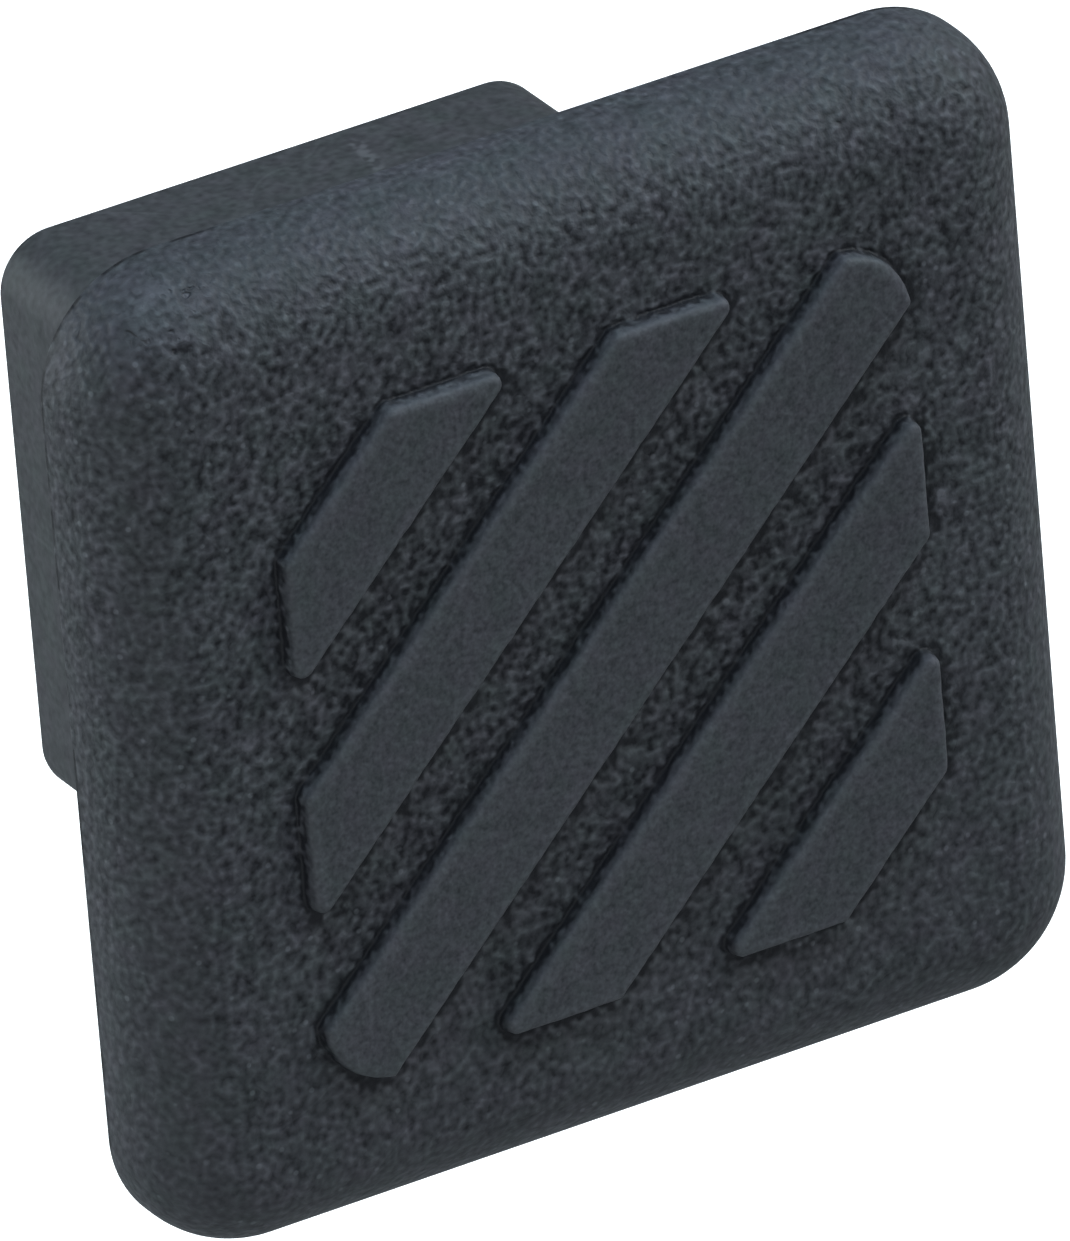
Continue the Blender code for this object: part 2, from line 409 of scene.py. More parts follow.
def body_tree():
    tree, given = new_tree("stack of rounded squares", {"Body Section": "Object", "Corner Steps": "Int"})
    section = add(tree, "GeometryNodeObjectInfo", {"Object": given["Body Section"]}, "Geometry")
    section, ring_numbers = capture(tree, section, ring=add(tree, "GeometryNodeInputPosition"))

    per_corner = maths(tree, "ADD", given["Corner Steps"], 1.0)
    round_count = maths(tree, "MULTIPLY", per_corner, 4.0)
    circle = {"Resolution": round_count}
    circle = add(tree, "GeometryNodeCurvePrimitiveCircle", circle, "Curve", mode="RADIUS")
    index = add(tree, "GeometryNodeInputIndex")
    corner = maths(tree, "FLOOR", maths(tree, "DIVIDE", maths(tree, "ADD", index, 0.5), per_corner))
    step = maths(tree, "SUBTRACT", index, maths(tree, "MULTIPLY", corner, per_corner))
    share = maths(tree, "DIVIDE", step, given["Corner Steps"])
    angle = maths(tree, "MULTIPLY", maths(tree, "ADD", corner, share), math.pi / 2)
    turn = vector_of(tree, maths(tree, "COSINE", angle), maths(tree, "SINE", angle))
    diagonal = maths(tree, "MULTIPLY", maths(tree, "ADD", corner, 0.5), math.pi / 2)
    right = maths(tree, "SIGN", maths(tree, "COSINE", diagonal))
    top = maths(tree, "SIGN", maths(tree, "SINE", diagonal))
    circle, corner_side, own_turn = capture(tree, circle, corner=vector_of(tree, right, top), turn=turn)

    net = add(tree, "GeometryNodeCurveToMesh", {"Curve": circle, "Profile Curve": section})
    half_width, radius, height = parts_of(tree, ring_numbers)
    to_centre = scaled(tree, corner_side, maths(tree, "SUBTRACT", half_width, radius))
    on_corner = vectors(tree, "ADD", to_centre, scaled(tree, own_turn, radius))
    place = vectors(tree, "ADD", on_corner, vector_of(tree, z=height))
    body = add(tree, "GeometryNodeSetPosition", {"Geometry": net, "Position": place})
    add(tree, "NodeGroupOutput", {"Geometry": body})
    return tree


body_group = body_tree()
print("body tree:", len(body_group.nodes), "nodes")

# %% [markdown]
# Slanted ribs fill a rounded square panel in the middle of the face. They all repeat one bar, so a
# tree lays bars on a line of points, turns them to the slant and trims them to the panel. What it
# keeps of them is only their outline. A mould for such ribs is cut with a tapered tool that runs
# along the outline, and the tree does the same: one small section, with its draft and its two
# roundings, is swept round every rib. Bevels on the trimmed bars would be less work, but they
# overlap in the sharp corners, and this way each rib has even rows of faces.
#
# The edges of moulded ribs are a little uneven, because the grain of the mould runs into them. So
# the outline wanders by a few hundredths of a millimetre before the section follows it.

# %% Sizes of the ribs
PANEL_WIDTH = 36.0 * MM
PANEL_CORNER_RADIUS = 4.0 * MM
RIB_WIDTH = 5.0 * MM
RIB_GAP = 4.2 * MM
RIB_COUNT = 5
RIB_SLANT = math.radians(45.0)
RIB_HEIGHT = -cover_low.y - CAP_THICKNESS
RIB_DRAFT = math.radians(8.0)
RIB_EDGE_RADIUS = 0.40 * MM
RIB_FOOT_RADIUS = 0.15 * MM
RIB_CORNER_RADIUS = 0.5 * MM

# How far the swept section reaches on to the rib's top, and how far the painted shade reaches on to
# the ground from a foot on the upper left, and the painted shadow from one on the lower right. The
# section ends where the painted shadow does.
RIB_MARGIN = 0.36 * MM
NEAR_FOOT = 0.45 * MM
FAR_FOOT = 1.35 * MM

# How far up a rib's side the painted shade at its foot reaches
FOOT_SHADE_HEIGHT = 0.60 * MM

# Fineness of the section's and the outline's roundings
RIB_EDGE_STEPS = 5
RIB_CORNER_STEPS = 6
PANEL_CORNER_STEPS = 24

# Fineness of the outline, and how much and how quickly it wanders
OUTLINE_STEP = 0.2 * MM
WANDER = 0.07 * MM
WANDER_PER_METRE = 900.0
WANDER_SEED = 7


def rib_section():
    """Height against distance outward from the rib's outline: top, upper edge, lower edge, ground."""
    foot = RIB_HEIGHT * math.tan(RIB_DRAFT)
    rib_top = CAP_THICKNESS + RIB_HEIGHT
    return [
        Vector((-RIB_MARGIN, rib_top, 0.0)),
        Vector((0.0, rib_top, 0.0)),
        Vector((foot, CAP_THICKNESS, 0.0)),
        Vector((foot + NEAR_FOOT, CAP_THICKNESS, 0.0)),
        Vector((foot + FAR_FOOT, CAP_THICKNESS, 0.0)),
    ]


section_of_ribs = poly_curve("rib section", rib_section())
print("ribs", round(RIB_HEIGHT / MM, 2), "mm high, pitch", round((RIB_WIDTH + RIB_GAP) / MM, 2), "mm")

# %% [markdown]
# The section has to lie outward of the outline all the way round. Curve to Mesh alone would put it to
# the left or the right of the curve, and each trimmed outline may run either way. So the tree works
# out the outward side of each point itself: square to the curve, and away from the rib's own middle.

# %% Tree for the ribs
RIB_INPUTS = {
    "Panel Width": "Float",
    "Panel Corner Radius": "Float",
    "Rib Width": "Float",
    "Rib Gap": "Float",
    "Rib Count": "Int",
    "Rib Slant": "Float",
    "Rib Section": "Object",
    "Rib Edge Radius": "Float",
    "Rib Foot Radius": "Float",
    "Near Foot": "Float",
    "Far Foot": "Float",
    "Foot Shade Height": "Float",
    "Rib Corner Radius": "Float",
    "Outline Step": "Float",
    "Wander": "Float",
    "Wander Per Metre": "Float",
    "Wander Seed": "Int",
}

TRIM_DEPTH = 1.0 * MM

# A bar crosses the panel at any slant when it is this many panels long
BAR_PANELS = 2.0

# Two whole numbers that differ by less than this are the same
SAME_NUMBER = 0.1

# The points of the rib section at its upper edge and at its foot
EDGE_POINT = 1
FOOT_POINT = 2

# Feet that face this way get the wider painted shadow, fully so once they face it by the given share
LOWER_RIGHT = (0.7, -0.7, 0.0)
FULLY_LOWER_RIGHT = 0.6


def on_border(tree):
    """True on an edge that has a face on one side only."""
    faces = add(tree, "GeometryNodeInputMeshEdgeNeighbors", output="Face Count")
    return maths(tree, "COMPARE", faces, 1.0, SAME_NUMBER)


def bars_on_a_line(tree, given):
    """Long bars side by side, one for each rib, turned to the slant."""
    pitch = maths(tree, "ADD", given["Rib Width"], given["Rib Gap"])
    reach = maths(tree, "MULTIPLY", maths(tree, "SUBTRACT", given["Rib Count"], 1.0), -0.5)
    first = vector_of(tree, y=maths(tree, "MULTIPLY", reach, pitch))
    line = {"Count": given["Rib Count"], "Start Location": first, "Offset": vector_of(tree, y=pitch)}
    middles = add(tree, "GeometryNodeMeshLine", line, mode="OFFSET")
    length = maths(tree, "MULTIPLY", given["Panel Width"], BAR_PANELS)
    bar = vector_of(tree, length, given["Rib Width"], TRIM_DEPTH)
    bar = add(tree, "GeometryNodeMeshCube", {"Size": bar})
    bars = add(tree, "GeometryNodeInstanceOnPoints", {"Points": middles, "Instance": bar})
    bars = add(tree, "GeometryNodeRealizeInstances", {"Geometry": bars})
    slant = vector_of(tree, z=given["Rib Slant"])
    return add(tree, "GeometryNodeTransform", {"Geometry": bars, "Rotation": slant})


def rounded_panel(tree, given):
    """A block with the panel's rounded square outline, which reaches past the bars on both sides."""
    square = {"Width": given["Panel Width"], "Height": given["Panel Width"]}
    square = add(tree, "GeometryNodeCurvePrimitiveQuadrilateral", square, mode="RECTANGLE")
    corners = {"Count": PANEL_CORNER_STEPS, "Radius": given["Panel Corner Radius"]}
    corners.update({"Curve": square, "Limit Radius": True})
    square = add(tree, "GeometryNodeFilletCurve", corners, mode="POLY")
    rod = {"Start": (0, 0, -TRIM_DEPTH), "End": (0, 0, TRIM_DEPTH)}
    rod = add(tree, "GeometryNodeCurvePrimitiveLine", rod)
    panel = {"Curve": rod, "Profile Curve": square, "Fill Caps": True}
    return add(tree, "GeometryNodeCurveToMesh", panel)


def trimmed_outlines(tree, given):
    """The outline of every rib, flat, as closed curves."""
    kept = {"Mesh 2": [bars_on_a_line(tree, given), rounded_panel(tree, given)]}
    kept = add(tree, "GeometryNodeMeshBoolean", kept, operation="INTERSECT", solver="EXACT")
    upward = parts_of(tree, add(tree, "GeometryNodeInputNormal"))[2]
    is_top = maths(tree, "GREATER_THAN", upward, 0.5)
    tops = add(tree, "GeometryNodeSeparateGeometry", {"Geometry": kept, "Selection": is_top}, domain="FACE")
    return add(tree, "GeometryNodeMeshToCurve", {"Mesh": tops, "Selection": on_border(tree)})


def uneven_outlines(tree, given, outlines):
    """Rounds the outlines' corners, gives them even points, lays them flat and lets them wander."""
    corners = {"Count": RIB_CORNER_STEPS, "Radius": given["Rib Corner Radius"]}
    corners.update({"Curve": outlines, "Limit Radius": True})
    outlines = add(tree, "GeometryNodeFilletCurve", corners, mode="POLY")
    even = {"Curve": outlines, "Length": given["Outline Step"]}
    outlines = add(tree, "GeometryNodeResampleCurve", even, mode="LENGTH")
    position = add(tree, "GeometryNodeInputPosition")
    flat = vectors(tree, "MULTIPLY", position, (1.0, 1.0, 0.0))
    noise = {"Vector": flat, "W": given["Wander Seed"], "Scale": given["Wander Per Metre"], "Detail": 1.0}
    noise = add(tree, "ShaderNodeTexNoise", noise, "Color", noise_dimensions="4D")
    centred = vectors(tree, "SUBTRACT", noise, (0.5, 0.5, 0.5))
    sideways = vectors(tree, "MULTIPLY", centred, (2.0, 2.0, 0.0))
    wandered = vectors(tree, "ADD", flat, scaled(tree, sideways, given["Wander"]))
    return add(tree, "GeometryNodeSetPosition", {"Geometry": outlines, "Position": wandered})


def outward_side(tree):
    """At each point of closed curves, the flat direction away from its own curve's middle."""
    position = add(tree, "GeometryNodeInputPosition")
    own_curve = add(tree, "GeometryNodeCurveOfPoint", output="Curve Index")
    total = {"Value": position, "Group ID": own_curve}
    total = add(tree, "GeometryNodeAccumulateField", total, "Total", data_type="FLOAT_VECTOR")
    count = {"Value": 1.0, "Group ID": own_curve}
    count = add(tree, "GeometryNodeAccumulateField", count, "Total", data_type="FLOAT")
    middle = scaled(tree, total, maths(tree, "DIVIDE", 1.0, count))
    along = add(tree, "GeometryNodeInputTangent")
    across = vectors(tree, "NORMALIZE", vectors(tree, "CROSS_PRODUCT", along, (0.0, 0.0, 1.0)))
    away = vectors(tree, "SUBTRACT", position, middle)
    side = maths(tree, "SIGN", vectors(tree, "DOT_PRODUCT", across, away, output="Value"))
    return scaled(tree, across, side)


def point_of(tree, curve, number):
    """The place of one point of a curve."""
    place = add(tree, "GeometryNodeInputPosition")
    sample = {"Geometry": curve, "Value": place, "Index": number}
    return add(tree, "GeometryNodeSampleIndex", sample, data_type="FLOAT_VECTOR")


def named_nearness(tree, geometry, name, distance):
    """Stores 1 less the distance, and never below 0, on the points under a name for the material."""
    nearness = maths(tree, "MAXIMUM", maths(tree, "SUBTRACT", 1.0, distance), 0.0)
    store = {"Geometry": geometry, "Name": name, "Value": nearness}
    return add(tree, "GeometryNodeStoreNamedAttribute", store, data_type="FLOAT", domain="POINT")


def ribs_tree():
    tree, given = new_tree("slanted ribs", RIB_INPUTS)
    outlines = uneven_outlines(tree, given, trimmed_outlines(tree, given))
    position = add(tree, "GeometryNodeInputPosition")
    outlines, at, outward = capture(tree, outlines, at=position, outward=outward_side(tree))
    section = add(tree, "GeometryNodeObjectInfo", {"Object": given["Rib Section"]}, "Geometry")
    point = add(tree, "GeometryNodeInputIndex")
    at_edge = maths(tree, "COMPARE", point, float(EDGE_POINT), SAME_NUMBER)
    at_foot = maths(tree, "COMPARE", point, float(FOOT_POINT), SAME_NUMBER)
    radius = maths(tree, "MULTIPLY", at_edge, given["Rib Edge Radius"])
    radius = maths(tree, "MULTIPLY_ADD", at_foot, given["Rib Foot Radius"], radius)
    foot = point_of(tree, section, FOOT_POINT)
    rounding = {"Curve": section, "Count": RIB_EDGE_STEPS, "Radius": radius, "Limit Radius": True}
    section = add(tree, "GeometryNodeFilletCurve", rounding, mode="POLY")
    section, on_section = capture(tree, section, section=position)
    net = add(tree, "GeometryNodeCurveToMesh", {"Curve": outlines, "Profile Curve": section})
    reach, height = parts_of(tree, on_section)[:2]
    place = vectors(tree, "ADD", at, scaled(tree, outward, reach))
    place = vectors(tree, "ADD", place, vector_of(tree, z=height))
    walls = add(tree, "GeometryNodeSetPosition", {"Geometry": net, "Position": place})

    # The attribute is 1 at the foot and falls to 0 up the side and out over the ground. The material
    # paints shade and shadow at the feet by it.
    out, up = parts_of(tree, vectors(tree, "SUBTRACT", on_section, foot))[:2]
    lower_right = vectors(tree, "DOT_PRODUCT", outward, LOWER_RIGHT, output="Value")
    lower_right = {"Value": lower_right, "From Min": 0.0, "From Max": FULLY_LOWER_RIGHT}
    lower_right = add(tree, "ShaderNodeMapRange", lower_right)
    spread = mixed(tree, lower_right, given["Near Foot"], given["Far Foot"])
    out = maths(tree, "DIVIDE", maths(tree, "MAXIMUM", out, 0.0), spread)
    from_foot = maths(tree, "ADD", out, maths(tree, "DIVIDE", up, given["Foot Shade Height"]))
    walls = named_nearness(tree, walls, "foot", from_foot)
    add(tree, "NodeGroupOutput", {"Geometry": walls})
    return tree


ribs_group = ribs_tree()
print("rib tree:", len(ribs_group.nodes), "nodes")

# %% [markdown]
# The body and the rib walls are still open nets: the flat of the face, the tops of the ribs and the
# floor of the hollow are missing. Each of these flats lies at one height, and its border is there
# already, as the loose edges of the nets at that height. Fill Curve turns closed curves into flat
# faces, and leaves a hole where one curve lies in another, so the ribs' feet stay open in the face.
# Then everything is joined, welded where the borders meet, and turned upright.

# %% Tree for the whole moulding
COVER_INPUTS = {
    "Body Section": "Object",
    "Corner Steps": "Int",
    **RIB_INPUTS,
    "Face Height": "Float",
    "Rib Top Height": "Float",
    "Hollow Floor Height": "Float",
    "Weld Distance": "Float",
    "Rubber": "Material",
}

WELD_DISTANCE = 0.001 * MM
LEVEL_REACH = 0.01 * MM


def fill_tree():
    tree, given = new_tree("flat at a height", {"Net": "Geometry", "Height": "Float"})
    height = parts_of(tree, add(tree, "GeometryNodeInputPosition"))[2]
    at_height = maths(tree, "COMPARE", height, given["Height"], LEVEL_REACH)
    border = maths(tree, "MULTIPLY", on_border(tree), at_height)
    border = add(tree, "GeometryNodeMeshToCurve", {"Mesh": given["Net"], "Selection": border})
    flat = add(tree, "GeometryNodeFillCurve", {"Curve": border}, mode="TRIANGLES")
    lift = vector_of(tree, z=given["Height"])
    flat = add(tree, "GeometryNodeTransform", {"Geometry": flat, "Translation": lift})
    add(tree, "NodeGroupOutput", {"Geometry": flat})
    return tree


def use_group(tree, group, given, **others):
    """Puts a tree into another as one node, and links the inputs that have the same name in both."""
    node = tree.nodes.new("GeometryNodeGroup")
    node.node_tree = group
    for socket in node.inputs:
        source = others.get(socket.name) or given.get(socket.name)
        tree.links.new(source, socket)
    return node.outputs["Geometry"]


def cover_tree(body_group, ribs_group, fill_group):
    tree, given = new_tree("moulded cover", COVER_INPUTS)
    body = use_group(tree, body_group, given)
    ribs = use_group(tree, ribs_group, given)
    nets = add(tree, "GeometryNodeJoinGeometry", {"Geometry": [body, ribs]})
    flats = [
        use_group(tree, fill_group, given, Net=nets, Height=given[level])
        for level in ("Face Height", "Rib Top Height", "Hollow Floor Height")
    ]
    whole = add(tree, "GeometryNodeJoinGeometry", {"Geometry": [nets, *flats]})
    whole = add(tree, "GeometryNodeMergeByDistance", {"Geometry": whole, "Distance": given["Weld Distance"]})
    upright = vector_of(tree, x=math.pi / 2)
    whole = add(tree, "GeometryNodeTransform", {"Geometry": whole, "Rotation": upright})
    whole = add(tree, "GeometryNodeSetShadeSmooth", {"Geometry": whole})
    whole = add(tree, "GeometryNodeRealizeInstances", {"Geometry": whole})
    whole = add(tree, "GeometryNodeSetMaterial", {"Geometry": whole, "Material": given["Rubber"]})
    add(tree, "NodeGroupOutput", {"Geometry": whole})
    return tree


cover_group = cover_tree(body_group, ribs_group, fill_tree())
print("moulding tree:", len(cover_group.nodes), "nodes")

# %% [markdown]
# The skin is rubber with the mould's own grain. The face and the cap's edge are pebbled, from a mould
# that was etched: rounded lumps about 0.4 mm across and a few hundredths of a millimetre high, with
# finer lumps on them and narrow pits between them. The tops of the ribs, the plug and the back come
# off smoother steel, so they have only a fine, shallow grain.
#
# The grain could be an image, but then it would stretch round the edges. Solid noise in the object's
# own coordinates runs through the cover like the grain in a block, and has no seam. The coordinates
# are first turned into millimetres, so that every scale below is a number of lumps per millimetre,
# and every height and place is in millimetres too.
#
# A few small helpers come first. Most of a finish is sums of noises, and soft steps that say where
# one finish passes into another. A step is given by its two ends, and it may run downward.

# %% Helpers for the skin
def steps_between(tree, value, ends):
    """0 up to the first end, 1 past the second, and a smooth step between them."""
    limits = {"Value": value, "From Min": ends[0], "From Max": ends[1]}
    return add(tree, "ShaderNodeMapRange", limits, interpolation_type="SMOOTHSTEP")


def noise_of(tree, place, per_mm, detail=0.0, roughness=0.5):
    settings = {"Vector": place, "Scale": per_mm, "Detail": detail, "Roughness": roughness}
    return add(tree, "ShaderNodeTexNoise", settings)


def above_half(tree, value):
    """How far a number is above one half, so that a noise runs about zero."""
    return maths(tree, "SUBTRACT", value, 0.5)


def size_of(tree, value):
    """A number without its sign."""
    return maths(tree, "ABSOLUTE", value)


def rest_of(tree, share):
    """What a share leaves of the whole."""
    return maths(tree, "SUBTRACT", 1.0, share)


def product(tree, first, *others):
    for other in others:
        first = maths(tree, "MULTIPLY", first, other)
    return first


def summed(tree, start, *shares):
    """A number plus others, each given with how much of it is added."""
    for value, share in shares:
        start = maths(tree, "MULTIPLY_ADD", value, share, start)
    return start


def random_dots(tree, place, per_mm, edge, core, left_out):
    """Soft round dots in some of the cells of a Voronoi pattern: 1 in a dot's core, 0 outside its edge."""
    distance = add(tree, "ShaderNodeTexVoronoi", {"Vector": place, "Scale": per_mm}, "Distance")
    chance = parts_of(tree, distance.node.outputs["Color"])[0]
    chosen = maths(tree, "GREATER_THAN", chance, left_out)
    return product(tree, steps_between(tree, distance, (edge, core)), chosen)


print("helpers for the skin are ready")

# %% [markdown]
# The finish changes from the face to the ribs and from the cap to the plug. Each could be a material
# of its own, but the borders would then be as sharp as the mesh. Here one material reads its place on
# the cover and fades from one finish to the next. Height above the face tells a rib's top from the
# ground, depth tells the plug, and the slope tells the sides and the back. How near the next rib is
# comes from the same sizes as the ribs themselves, because their outlines follow a simple rule.

# %% Where on the cover
RIB_SIDE = (0.45, 0.95)
PLUG_START = (0.02, 0.40)
FACING_BACK = (0.5, 0.9)
FACING_UP = (0.35, 0.95)


def distance_to_ribs(tree, x, z):
    """Distances to the nearest rib's outline and to the panel's outline, both negative inside."""
    pitch = (RIB_WIDTH + RIB_GAP) / MM
    rise = maths(tree, "MULTIPLY", z, math.cos(RIB_SLANT))
    across = maths(tree, "MULTIPLY_ADD", x, -math.sin(RIB_SLANT), rise)
    nearest = maths(tree, "SNAP", maths(tree, "ADD", across, pitch / 2), pitch)
    from_middle = size_of(tree, maths(tree, "SUBTRACT", across, nearest))
    to_side = maths(tree, "SUBTRACT", from_middle, RIB_WIDTH / 2 / MM)

    straight = (PANEL_WIDTH / 2 - PANEL_CORNER_RADIUS) / MM
    past_x = maths(tree, "SUBTRACT", size_of(tree, x), straight)
    past_z = maths(tree, "SUBTRACT", size_of(tree, z), straight)
    past_both = vector_of(tree, maths(tree, "MAXIMUM", past_x, 0.0), maths(tree, "MAXIMUM", past_z, 0.0))
    past_both = vectors(tree, "LENGTH", past_both, output="Value")
    within = maths(tree, "MINIMUM", maths(tree, "MAXIMUM", past_x, past_z), 0.0)
    to_panel = maths(tree, "SUBTRACT", maths(tree, "ADD", past_both, within), PANEL_CORNER_RADIUS / MM)
    return maths(tree, "MAXIMUM", to_side, to_panel), to_panel


def places_on_cover(tree):
    """Sockets that say where a point lies, how the surface slopes there, and what it belongs to."""
    own = add(tree, "ShaderNodeTexCoord", output="Object")
    slopes = add(tree, "ShaderNodeTexCoord", output="Normal")
    at = SimpleNamespace()
    at.place = add(tree, "ShaderNodeMapping", {"Vector": own, "Scale": (1 / MM, 1 / MM, 1 / MM)})
    at.x, at.depth, at.z = parts_of(tree, at.place)
    at.sideways, toward_back, at.upward = parts_of(tree, slopes)
    above_face = maths(tree, "SUBTRACT", -CAP_THICKNESS / MM, at.depth)
    at.on_rib = steps_between(tree, above_face, RIB_SIDE)
    at.faces_back = steps_between(tree, toward_back, FACING_BACK)
    at.on_plug = maths(tree, "MAXIMUM", steps_between(tree, at.depth, PLUG_START), at.faces_back)
    at.looks_up = steps_between(tree, at.upward, FACING_UP)
    at.to_rib, at.to_panel = distance_to_ribs(tree, at.x, at.z)
    return at


print("ribs' tops start", RIB_SIDE[0], "mm above the face")

# %% [markdown]
# Etched steel leaves lumps of several sizes. The ground's grain is a sum of them: the main lumps, with
# their highest spots raised a little more, finer lumps over them, and then short creases and pits
# that cut in. The grain is deepest on the upper half of the face. On the sides and below it is worn,
# so there it is mixed with nothing. The smoother grain of the ribs' tops is two fine noises, and the
# plug has a little of both.

# %% Grain
LUMPS_PER_MM = 2.4
FINE_PER_MM = 4.8
CREASES_PER_MM = 1.7
BREAKS_PER_MM = 1.2
SMOOTH_PER_MM = 3.0

# Which values of the noises make a crease, a gap in a crease, and a peak
CREASE_VALUES = (0.10, 0.02)
BREAK_VALUES = (0.46, 0.60)
PEAK_VALUES = (0.60, 0.80)

# How much of each form goes into the ground's grain
LUMP_SHARE = 1.05
PEAK_SHARE = 0.10
STROKE_SHARE = -0.08
PIT_SHARE = -0.10
FINE_SHARE = 0.34

# How much of each noise goes into the smoother grain, and of each grain into the plug's
SMOOTH_LUMP_SHARE = 0.7
SMOOTH_FINE_SHARE = 0.4
PLUG_SMOOTH_SHARE = 0.25
PLUG_LUMP_SHARE = 0.38

# Dots: cells per millimetre, a dot's edge and core, and the share of the cells that have none
PITS = {"per_mm": 1.55, "edge": 0.30, "core": 0.10, "left_out": 0.45}

# Where the grain is worn, and how much of it is gone there
SIDE_SLOPE = (0.15, 0.65)
UNDERSIDE_SLOPE = (-0.15, -0.6)
LOWER_HALF = (4.0, -20.0)
SIDE_WEAR = 0.25
UNDERSIDE_WEAR = 0.35
LOWER_WEAR = 0.25
MOST_WEAR = 0.55


def grain_noises(tree, place):
    """The noises that more than one step below reads."""
    noises = SimpleNamespace()
    noises.lumps = noise_of(tree, place, LUMPS_PER_MM)
    noises.creases = noise_of(tree, place, CREASES_PER_MM)
    noises.breaks = noise_of(tree, place, BREAKS_PER_MM)
    noises.lumpy = above_half(tree, noises.lumps)
    noises.fine = above_half(tree, noise_of(tree, place, FINE_PER_MM, detail=1.0))
    return noises


def worn_share(tree, at):
    """How much of the grain is worn away at a place."""
    side = steps_between(tree, size_of(tree, at.sideways), SIDE_SLOPE)
    underside = steps_between(tree, at.upward, UNDERSIDE_SLOPE)
    lower = steps_between(tree, at.z, LOWER_HALF)
    worn = summed(tree, 0.0, (side, SIDE_WEAR), (underside, UNDERSIDE_WEAR), (lower, LOWER_WEAR))
    return maths(tree, "MINIMUM", worn, MOST_WEAR)


def ground_grain(tree, at, noises):
    """The etched grain of the face and the cap's edge, about zero."""
    crease = steps_between(tree, size_of(tree, above_half(tree, noises.creases)), CREASE_VALUES)
    strokes = product(tree, crease, steps_between(tree, noises.breaks, BREAK_VALUES))
    peaks = steps_between(tree, noises.lumps, PEAK_VALUES)
    pits = random_dots(tree, at.place, **PITS)
    # This grain is the relief and also part of the tone. In the tone its peaks are painted glints, and its
    # creases and pits painted shade.
    grain = summed(tree, 0.0, (noises.lumpy, LUMP_SHARE), (peaks, PEAK_SHARE), (strokes, STROKE_SHARE))
    grain = summed(tree, grain, (pits, PIT_SHARE), (noises.fine, FINE_SHARE))
    return mixed(tree, worn_share(tree, at), grain, 0.0)


def grains_of(tree, at, noises):
    """The three grains: the ground's, the ribs' tops' and the plug's."""
    grain = SimpleNamespace()
    grain.ground = ground_grain(tree, at, noises)
    smooth_lumps = above_half(tree, noise_of(tree, at.place, SMOOTH_PER_MM, detail=1.0))
    grain.smooth = summed(tree, 0.0, (noises.fine, SMOOTH_FINE_SHARE), (smooth_lumps, SMOOTH_LUMP_SHARE))
    grain.plug = summed(tree, 0.0, (noises.lumpy, PLUG_LUMP_SHARE), (grain.smooth, PLUG_SMOOTH_SHARE))
    return grain


print("the ground's lumps are about", round(1 / LUMPS_PER_MM, 1), "mm across")

# %% [markdown]
# The upper left corner has been knocked. It has a few short dents that lie flat, and it is rubbed
# paler round them. Dots in a pattern that is stretched and warped make such dents without a drawing:
# the noises of the grain push the pattern about, and a soft ball round the corner keeps it there.
#
# The grain then becomes relief. Real displacement would need millions of faces for lumps of this
# size, so the heights go into a Bump node, which only tilts the light. The form keeps its own mesh.

# %% Knocked corner and relief
KNOCKED_CORNER = (-21.9, -4.1, 25.6)
KNOCK_REACH = (2.8, 1.2)
DENT_SHIFT = (5.1, 2.2, 9.3)
DENT_STRETCH = (0.55, 0.55, 1.3)
DENT_WARP = 1.6
DENTS = {"per_mm": 0.9, "edge": 0.36, "core": 0.06, "left_out": 0.35}
RUBBED_PER_MM = 1.1
RUBBED_VALUES = (0.42, 0.66)

# Heights in millimetres for one unit of grain, and how much grain a dent takes away
GROUND_HEIGHT = 0.118
RIB_TOP_HEIGHT = 0.05
PLUG_HEIGHT = 0.05
DENT_SHARE = -1.5


def knocked_corner(tree, at, noises):
    """The dents at the knocked corner and the rubbed patches round them."""
    distance = vectors(tree, "DISTANCE", at.place, KNOCKED_CORNER, output="Value")
    knocked = steps_between(tree, distance, KNOCK_REACH)
    warp = vector_of(tree, noises.breaks, noises.creases, noises.lumps)
    warp = scaled(tree, vectors(tree, "SUBTRACT", warp, (0.5, 0.5, 0.5)), DENT_WARP)
    lying = {"Vector": at.place, "Location": DENT_SHIFT, "Scale": DENT_STRETCH}
    lying = vectors(tree, "ADD", add(tree, "ShaderNodeMapping", lying), warp)
    patches = steps_between(tree, noise_of(tree, lying, RUBBED_PER_MM, detail=1.0), RUBBED_VALUES)
    return product(tree, random_dots(tree, lying, **DENTS), knocked), product(tree, patches, knocked)


def relief(tree, at, grain, dents):
    """The tilt that the grain and the dents give to the surface."""
    ground = product(tree, summed(tree, grain.ground, (dents, DENT_SHARE)), GROUND_HEIGHT)
    rib_top = product(tree, grain.smooth, RIB_TOP_HEIGHT)
    plug = product(tree, grain.plug, PLUG_HEIGHT)
    height = mixed(tree, at.on_plug, mixed(tree, at.on_rib, ground, rib_top), plug)
    return add(tree, "ShaderNodeBump", {"Strength": 1.0, "Distance": MM, "Height": height})


print("the knocked corner is", KNOCK_REACH[0], "mm in radius")

# %% [markdown]
# Colour comes from one number, the tone: 0 is the darkest rubber and 1 the palest. The grain goes
# into the tone as painted light and shade: proud grain is paler, and pits and creases are darker.
# Pale specks, which are painted glints, dot the ground, and a few crumbs of grit lie on it. The ground
# between the ribs is darker, as painted shade. On what looks up, a painted sheen lies evenly and
# covers the grain. A texture painted by hand would need all of this again for each change of a size.

# %% Tone of each region
GROUND_TONE = 0.37
RIB_TONE = 0.42
PLUG_TONE = 0.37
RIB_GRAIN_TONE = 0.9
# The ground between the ribs is darker as painted shade
BETWEEN_RIBS = (0.3, -2.2)
BETWEEN_RIBS_SHADE_TONE = -0.075

